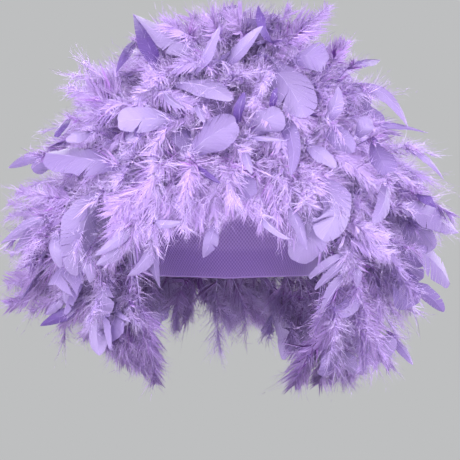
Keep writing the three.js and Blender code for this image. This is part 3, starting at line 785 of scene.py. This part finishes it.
def parted(lines, up, on, rng):
    """Corners of the strips between lines along a vane. up and on are its reach, out of it and along it."""
    first = [line[:, :-1].copy() for line in lines]
    last = [line[:, 1:].copy() for line in lines]
    shape = (*up.shape[:2], 1)
    # Each strip lies a little higher or lower than the next, and their ends part.
    stir = up * rng.normal(0, BARB_STIR, shape)
    notch = (last[-1] - first[-1]) * EDGE_NOTCH / 2
    # A split moves the end of one strip back and the start of the next one on.
    split = rng.uniform(0, 1, shape) < SPLIT_CHANCE
    gap = split * rng.uniform(*SPLIT_GAP, shape) * on
    for share, start, end in zip(STIR_SHARES, first, last):
        end += (stir - notch - gap) * share
        start += (stir + notch) * share
        start[:, 1:] += gap[:, :-1] * share * SPLIT_NEXT
    return np.stack([*first, *last], 2)


def vane_parts(f, rng):
    """Both sides of each vane: strips that lie edge to edge, or part at a split."""
    keep = np.flatnonzero(~f.plume)
    n = len(keep)
    u = np.linspace(0, 1, VANE_STRIPS + 1)
    index = np.repeat(keep, VANE_STRIPS + 1).reshape(n, -1)
    start = f.vane_from[keep][:, None]
    shaft, tangent, face = on_shafts(f, index, between((start, 1), u))
    across = np.cross(tangent, face)
    width = f.half_width[keep][:, None] * vane_outline(u[None], f.blunt[keep][:, None])
    camber = f.camber[keep][:, None, None]
    lop = f.lop[keep][:, None]
    lot = dye_lot(f.tint[keep], VANE_LOTS)
    parts = []
    for side in (1, -1):
        reach = (width * (1 + side * lop) * (1 + EDGE_WAVE * slow_noise(rng, n, u)))[..., None]
        out = (tangent * VANE_SLANT + across * side) * reach
        drop = face * camber * reach
        lines = [shaft + out * share - drop * share**2 for share in VANE_SHARES]
        points = parted(lines, (face * reach)[:, 1:], (tangent * reach)[:, 1:], rng)
        base = 2 * len(VANE_SHARES) * np.arange(n * VANE_STRIPS)[:, None, None]
        faces = base + STRIP_FACES[None, :, ::side]
        uv = vane_map(lot, u, side)
        parts.append(Part(points.reshape(-1, 3), faces.reshape(-1, 4), uv, VANE_SLOT))
    return parts


def vane_map(lot, u, side):
    """Where the six points of each strip lie on the feathers' map."""
    across = 0.5 + 0.5 * side * np.array(2 * VANE_SHARES)
    along = np.stack([u[:-1]] * len(VANE_SHARES) + [u[1:]] * len(VANE_SHARES), 1)
    return pairs(in_lot(lot[:, None, None], across), between(VANE_BAND, along)[None])


def shaft_part(f):
    """Each shaft, a taper with flat sides."""
    stations = slice(None, None, SHAFT_STEP)
    face, tangent = f.face[:, stations], f.tangent[:, stations]
    line = f.line[:, stations] + face * SHAFT_RISE * MM
    across = np.cross(tangent, face)
    rings = line.shape[1]
    radius = np.linspace(*SHAFT_RADIUS, rings)[:, None] * MM
    turns = 2 * math.pi * np.arange(SHAFT_SIDES) / SHAFT_SIDES
    corners = [line + (face * math.cos(a) + across * math.sin(a)) * radius for a in turns]
    points = np.stack(corners, 2).reshape(-1, 3)
    here = np.arange(len(points)).reshape(-1, rings, SHAFT_SIDES)
    beside = np.roll(here, -1, 2)
    faces = np.stack([here[:, :-1], beside[:, :-1], beside[:, 1:], here[:, 1:]], -1)
    uv = np.stack([np.repeat(f.tint, SHAFT_SIDES * rings), np.full(len(points), SHAFT_LINE)], -1)
    return Part(points, faces.reshape(-1, 4), uv, SHAFT_SLOT)


def joined(parts):
    """Points, faces, map and slots of all parts. A part with no points uses those of the one before."""
    points, normals, uv, loops, sizes, slots = [], [], [], [], [], []
    start = base = 0
    for part in parts:
        if part.points is not None:
            start = base
            base += len(part.points)
            points.append(part.points)
            normals.append(np.zeros_like(part.points) if part.normals is None else part.normals)
            uv.append(part.uv)
        loops.append((part.faces + start).ravel())
        sizes.append(np.full(len(part.faces), part.faces.shape[1]))
        slots.append(np.full(len(part.faces), part.slot))
    return [np.concatenate(x) for x in (points, normals, uv, loops, sizes, slots)]


def mesh_object(name, parts, materials):
    points, normals, uv, loops, sizes, slots = joined(parts)
    mesh = bpy.data.meshes.new(name)
    mesh.vertices.add(len(points))
    mesh.vertices.foreach_set("co", points.astype(np.float32).ravel())
    mesh.loops.add(len(loops))
    mesh.loops.foreach_set("vertex_index", loops.astype(np.int32))
    mesh.polygons.add(len(sizes))
    mesh.polygons.foreach_set("loop_start", (np.cumsum(sizes) - sizes).astype(np.int32))
    mesh.polygons.foreach_set("material_index", slots.astype(np.int32))
    mesh.polygons.foreach_set("use_smooth", np.ones(len(sizes), bool))
    mesh.uv_layers.new(name="OFBake").data.foreach_set("uv", uv[loops].astype(np.float32).ravel())
    for material in materials:
        mesh.materials.append(material)
    mesh.update(calc_edges=True)
    mesh.validate()
    mesh.normals_split_custom_set_from_vertices(normals)
    obj = bpy.data.objects.new(name, mesh)
    bpy.context.scene.collection.objects.link(obj)
    return obj


# Materials

def new_material(name):
    material = bpy.data.materials.new(name)
    material.use_nodes = True
    tree = material.node_tree
    tree.nodes.clear()
    return material, tree


def node(tree, kind, **values):
    made = tree.nodes.new(kind)
    for key, value in values.items():
        if key in made.inputs:
            made.inputs[key].default_value = value
        else:
            setattr(made, key, value)
    return made


def math_node(tree, operation, a, b=0.0):
    made = node(tree, "ShaderNodeMath", operation=operation)
    for socket, value in zip(made.inputs, (a, b)):
        if isinstance(value, (int, float)):
            socket.default_value = value
        else:
            tree.links.new(value, socket)
    return made.outputs[0]


def ramp(tree, factor, stops):
    made = node(tree, "ShaderNodeValToRGB")
    elements = made.color_ramp.elements
    while len(elements) < len(stops):
        elements.new(0.5)
    for element, (place, colour) in zip(elements, stops):
        element.position = place
        element.color = (*colour, 1)
    tree.links.new(factor, made.inputs["Fac"])
    return made.outputs["Color"]


MIX_SHARE, MIX_A, MIX_B, MIX_RESULT = 0, 6, 7, 2  # sockets of a mix node, for colours


def multiplied(tree, a, b, share=1.0):
    """Colour a, times a share of colour b."""
    made = node(tree, "ShaderNodeMix", data_type="RGBA", blend_type="MULTIPLY")
    made.inputs[MIX_SHARE].default_value = share
    tree.links.new(a, made.inputs[MIX_A])
    tree.links.new(b, made.inputs[MIX_B])
    return made.outputs[MIX_RESULT]


def sine(tree, value, count=1):
    """A wave with count crests as the value goes from 0 to 1."""
    return math_node(tree, "SINE", math_node(tree, "MULTIPLY", value, 2 * math.pi * count))


def lifted(tree, wave):
    """A wave between -1 and 1, brought between 0 and 1."""
    made = math_node(tree, "MULTIPLY_ADD", wave, 0.5)
    made.node.inputs[2].default_value = 0.5
    return made


def srgb(red, green, blue):
    """A colour as a screen states it, in linear light."""
    def linear(c):
        c /= 255
        return c / 12.92 if c <= 0.04045 else ((c + 0.055) / 1.055) ** 2.4
    return tuple(linear(c) for c in (red, green, blue))


def piece_map(tree):
    """A piece's map: the place across it and the place up it."""
    uv = node(tree, "ShaderNodeUVMap", uv_map="OFBake")
    split = node(tree, "ShaderNodeSeparateXYZ")
    tree.links.new(uv.outputs["UV"], split.inputs[0])
    return split.outputs["X"], split.outputs["Y"]


def thin_surface(tree, colour, through, finish):
    """A surface that lets a share of the light through."""
    surface = node(tree, "ShaderNodeBsdfPrincipled", **finish)
    glow = node(tree, "ShaderNodeBsdfTranslucent")
    mix = node(tree, "ShaderNodeMixShader", Fac=through)
    out = node(tree, "ShaderNodeOutputMaterial")
    tree.links.new(colour, surface.inputs["Base Color"])
    tree.links.new(colour, glow.inputs["Color"])
    tree.links.new(surface.outputs[0], mix.inputs[1])
    tree.links.new(glow.outputs[0], mix.inputs[2])
    tree.links.new(mix.outputs[0], out.inputs["Surface"])
    return surface


def bumped(tree, surface, height, strength, distance):
    bump = node(tree, "ShaderNodeBump", Strength=strength, Distance=distance)
    tree.links.new(height, bump.inputs["Height"])
    tree.links.new(bump.outputs[0], surface.inputs["Normal"])


# Colours by place: a dye runs from dark to pale, and a shade multiplies it.
# The shades of the down and of the vanes are painted shade.
WHITE = (1.0, 1.0, 1.0)
DOWN_DYE = (
    # the dark plum end, reached mostly by the under-down: painted shade for the depths
    (0.0, srgb(154, 104, 190)),
    (0.4, srgb(204, 178, 234)),
    (0.8, srgb(210, 192, 239)),
    (1.0, srgb(215, 201, 244)),
)
# painted shade along each barb: darker and pinker at the root, deep in the down, and a little darker at the
# tip to tone down its highlights
DOWN_PAINTED_SHADE = ((0.0, (0.87, 0.77, 0.94)), (0.5, (1.0, 0.97, 1.0)), (1.0, (0.9, 0.9, 0.94)))
LAST_VANE_LOT, FIRST_SHEET_LOT = (VANE_LOTS - 1) / (LOTS - 1), VANE_LOTS / (LOTS - 1)
VANE_DYE = (
    # the darkest lots colour the placed vanes of lowest tone: dye, with painted shade on those in shade
    (0.0, srgb(97, 72, 140)),
    (0.4 * LAST_VANE_LOT, srgb(127, 108, 160)),
    (0.8 * LAST_VANE_LOT, srgb(140, 122, 171)),
    (LAST_VANE_LOT, srgb(149, 132, 179)),
    (FIRST_SHEET_LOT, srgb(169, 138, 202)),
    (1.0, srgb(181, 155, 214)),
)
# painted shade along vanes and sheets: darker at the base, deep among the down, and a little brighter towards
# the tip
VANE_PAINTED_SHADE = ((0.0, (0.72, 0.66, 0.78)), (0.4, (0.97, 0.96, 0.98)), (1.0, (1.04, 1.04, 1.03)))
LINE_SHADE = ((0.0, (0.55, 0.45, 0.7)), (1.0, WHITE))
STREAK_SHADE = ((0.3, (0.86, 0.83, 0.91)), (0.5, (0.95, 0.94, 0.97)), (0.7, WHITE))
SHAFT_DYE = ((0.0, srgb(126, 102, 166)), (1.0, srgb(172, 154, 204)))
YARN_DYE = ((0.0, srgb(138, 104, 182)), (1.0, srgb(186, 156, 222)))
HEM_SHADE = ((0.0, (0.8, 0.76, 0.86)), (0.1, (0.84, 0.8, 0.9)), (0.12, WHITE))
DOWN_FINISH = {"Roughness": 0.6, "Specular IOR Level": 0.2}  # also of the shafts
VANE_FINISH = {"Roughness": 0.42, "Specular IOR Level": 0.3}
KNIT_FINISH = {"Roughness": 0.85, "Sheen Weight": 0.25}
FEATHER_THROUGH, SHAFT_THROUGH, KNIT_THROUGH = 0.38, 0.2, 0.12  # shares of light
VANE_LINES, LINE_SLANT = 46, 22  # lines of barbs on a vane, and their slant in lines
LINE_DEPTH = 0.1
STREAK_SCALE, STREAK_DETAIL, STREAK_SHIFT = 0.9, 4.0, 97  # the shift is between lots
LINE_BUMP, KNIT_BUMP = (0.15, 0.0004), (0.5, 0.0006)  # strength, and height in metres


def down_material():
    material, tree = new_material("feather_down")
    tint, height = piece_map(tree)
    along = math_node(tree, "DIVIDE", height, DOWN_BAND[1])
    # the dye, times painted shade from root to tip
    colour = multiplied(tree, ramp(tree, tint, DOWN_DYE), ramp(tree, along, DOWN_PAINTED_SHADE))
    thin_surface(tree, colour, FEATHER_THROUGH, DOWN_FINISH)
    return material


def vane_material():
    """Dye and painted shade, with fine lines of barbs that slant from the shaft to the edge, and streaks."""
    material, tree = new_material("feather_vane")
    place, height = piece_map(tree)
    lots = math_node(tree, "MULTIPLY", place, LOTS)
    lot = math_node(tree, "DIVIDE", math_node(tree, "FLOOR", lots), LOTS - 1)
    across = math_node(tree, "ABSOLUTE", math_node(tree, "SUBTRACT", math_node(tree, "FRACT", lots), 0.5))
    above = math_node(tree, "SUBTRACT", height, VANE_BAND[0])
    along = math_node(tree, "DIVIDE", above, VANE_BAND[1] - VANE_BAND[0])
    body = multiplied(tree, ramp(tree, lot, VANE_DYE), ramp(tree, along, VANE_PAINTED_SHADE))
    forward = math_node(tree, "MULTIPLY", along, VANE_LINES)
    slanted = math_node(tree, "SUBTRACT", forward, math_node(tree, "MULTIPLY", across, LINE_SLANT))
    lines = lifted(tree, sine(tree, slanted))
    lined = multiplied(tree, body, ramp(tree, lines, LINE_SHADE), LINE_DEPTH)
    streak = node(tree, "ShaderNodeTexNoise", noise_dimensions="1D", Scale=STREAK_SCALE, Detail=STREAK_DETAIL)
    shift = math_node(tree, "MULTIPLY", lot, STREAK_SHIFT)
    tree.links.new(math_node(tree, "ADD", slanted, shift), streak.inputs["W"])
    colour = multiplied(tree, lined, ramp(tree, streak.outputs[0], STREAK_SHADE))
    surface = thin_surface(tree, colour, FEATHER_THROUGH, VANE_FINISH)
    bumped(tree, surface, lines, *LINE_BUMP)
    return material


def shaft_material():
    material, tree = new_material("feather_shaft")
    tint, _ = piece_map(tree)
    thin_surface(tree, ramp(tree, tint, SHAFT_DYE), SHAFT_THROUGH, DOWN_FINISH)
    return material


def cap_material():
    """Fine stretch knit: ribs down the cap and loops round it, darker in the hem."""
    material, tree = new_material("cap_knit")
    rib, course = piece_map(tree)
    ribs, loops = sine(tree, rib, CAP_RIBS), sine(tree, course, CAP_COURSES)
    knit = lifted(tree, math_node(tree, "MULTIPLY", ribs, loops))
    colour = multiplied(tree, ramp(tree, knit, YARN_DYE), ramp(tree, course, HEM_SHADE))
    surface = thin_surface(tree, colour, KNIT_THROUGH, KNIT_FINISH)
    bumped(tree, surface, knit, *KNIT_BUMP)
    return material


# The wig

def in_sheets(feathers, row, rng):
    """The plumes that have sheets: a share of the row's own, and all the placed ones."""
    own = np.arange(len(feathers.line)) < row["feathers"]
    share = np.where(own, SHEET_SHARE, 1)
    return chosen(feathers, feathers.plume & (rng.uniform(0, 1, len(share)) < share))


def make_rows():
    materials = [down_material(), vane_material(), shaft_material()]
    placed = placed_feathers(np.random.default_rng(SEED))
    sewn = nearest_rows(placed)
    for number, values in enumerate(ROW_TABLE):
        row = dict(zip(ROW_COLUMNS, values))
        rng = np.random.default_rng((SEED, number))
        feathers = together(row_feathers(row, rng), chosen(placed, sewn == number))
        parts = [
            *all_down(feathers, rng, row["wisps"]),
            *vane_parts(feathers, rng),
            shaft_part(feathers),
            *sheet_parts(in_sheets(feathers, row, rng), rng),
        ]
        obj = mesh_object(row["node"] + "_feathers", parts, materials)
        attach(obj, "root")
        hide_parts(row["node"])


def make_cap():
    """The cap: an inner and an outer wall that meet in a rounded hem."""
    azimuth = np.linspace(0, 360, CAP_COLUMNS + 1)
    edge = cap_edge(azimuth)
    share = np.linspace(0, 1, CAP_RINGS + 1)
    height = edge[:, None] + (90 - edge[:, None]) * share[None]
    around = np.repeat(azimuth[:, None], CAP_RINGS + 1, 1)
    inner = on_head(around, height, 0.0)
    outer = on_head(around, height, CAP_WALL)
    turns = np.linspace(0, math.pi, CAP_HEM_STEPS + 1)[1:-1]
    middle, across = (inner[:, 0] + outer[:, 0]) / 2, (outer[:, 0] - inner[:, 0]) / 2
    below = unit(inner[:, 0] - inner[:, 1]) * CAP_WALL / 2
    hem = np.stack([middle - across * math.cos(a) + below * math.sin(a) for a in turns], 1)
    sheet = np.concatenate([inner[:, ::-1], hem, outer], 1)
    course = np.concatenate([share[::-1], np.zeros(len(turns)), share])
    columns, rows = sheet.shape[:2]
    uv = pairs(azimuth[:, None] / 360, course[None])
    corner = np.arange(columns * rows).reshape(columns, rows)
    faces = np.stack([corner[:-1, :-1], corner[1:, :-1], corner[1:, 1:], corner[:-1, 1:]], -1)
    part = Part(sheet.reshape(-1, 3), faces.reshape(-1, 4), uv, slot=0)
    cap = mesh_object("cap_knitted", [part], [cap_material()])
    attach(cap, "root")
    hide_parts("cap")


# Camera, light and floor

def make_camera():
    data = bpy.data.cameras.new("camera")
    data.lens = data.sensor_width * CAMERA_DISTANCE / (PIXEL * PHOTO_SIDE)
    camera = bpy.data.objects.new("camera", data)
    camera.location = (AXIS_X, -CAMERA_DISTANCE, AXIS_Z)
    camera.rotation_euler = (math.pi / 2, 0, 0)
    bpy.context.scene.collection.objects.link(camera)
    bpy.context.scene.camera = camera


LIGHTS = (
    # name, place in metres, side in metres, watts
    ("key", (-1.0, -1.4, 1.0), 0.8, 41),
    ("top", (0.1, -0.7, 1.6), 1.0, 20),
    ("front", (-0.1, -1.9, -0.3), 1.2, 33),
    ("fill", (1.4, -0.9, -0.2), 1.0, 56),
    ("side", (-1.5, -0.8, -0.5), 1.0, 46),
    ("back", (-0.5, 1.5, 0.9), 1.2, 32),
    ("back_fill", (1.2, 1.0, 0.3), 1.0, 20),
)
AIM = np.array([0, 0, -0.1])  # the middle of the wig


def make_lights():
    for name, place, side, watts in LIGHTS:
        data = bpy.data.lights.new(name, "AREA")
        data.size = side
        data.energy = watts
        light = bpy.data.objects.new(name, data)
        light.location = place
        back = np.array(place) - AIM
        light.rotation_euler = (
            math.atan2(math.hypot(back[0], back[1]), back[2]), 0, math.atan2(back[0], -back[1]),
        )
        bpy.context.scene.collection.objects.link(light)


WALL_COLOUR, FLOOR_COLOUR = srgb(190, 191, 192), srgb(136, 136, 137)
FLOOR_RADIUS, FLOOR_HEIGHT, FLOOR_SIDES = 0.55, -0.37, 96
FLOOR_ROUGHNESS = 0.8


def make_surroundings():
    world = bpy.data.worlds.new("studio")
    world.use_nodes = True
    world.node_tree.nodes["Background"].inputs["Color"].default_value = (*WALL_COLOUR, 1)
    bpy.context.scene.world = world
    bpy.ops.mesh.primitive_circle_add(
        vertices=FLOOR_SIDES, radius=FLOOR_RADIUS, fill_type="NGON", location=(0, 0, FLOOR_HEIGHT),
    )
    floor = bpy.context.object
    floor.name = "floor"
    material, tree = new_material("floor_paint")
    surface = node(tree, "ShaderNodeBsdfPrincipled", Roughness=FLOOR_ROUGHNESS)
    surface.inputs["Base Color"].default_value = (*FLOOR_COLOUR, 1)
    out = node(tree, "ShaderNodeOutputMaterial")
    tree.links.new(surface.outputs[0], out.inputs["Surface"])
    floor.data.materials.append(material)


bpy.context.scene.view_settings.view_transform = "Standard"
make_camera()
make_lights()
make_surroundings()
make_rows()
make_cap()
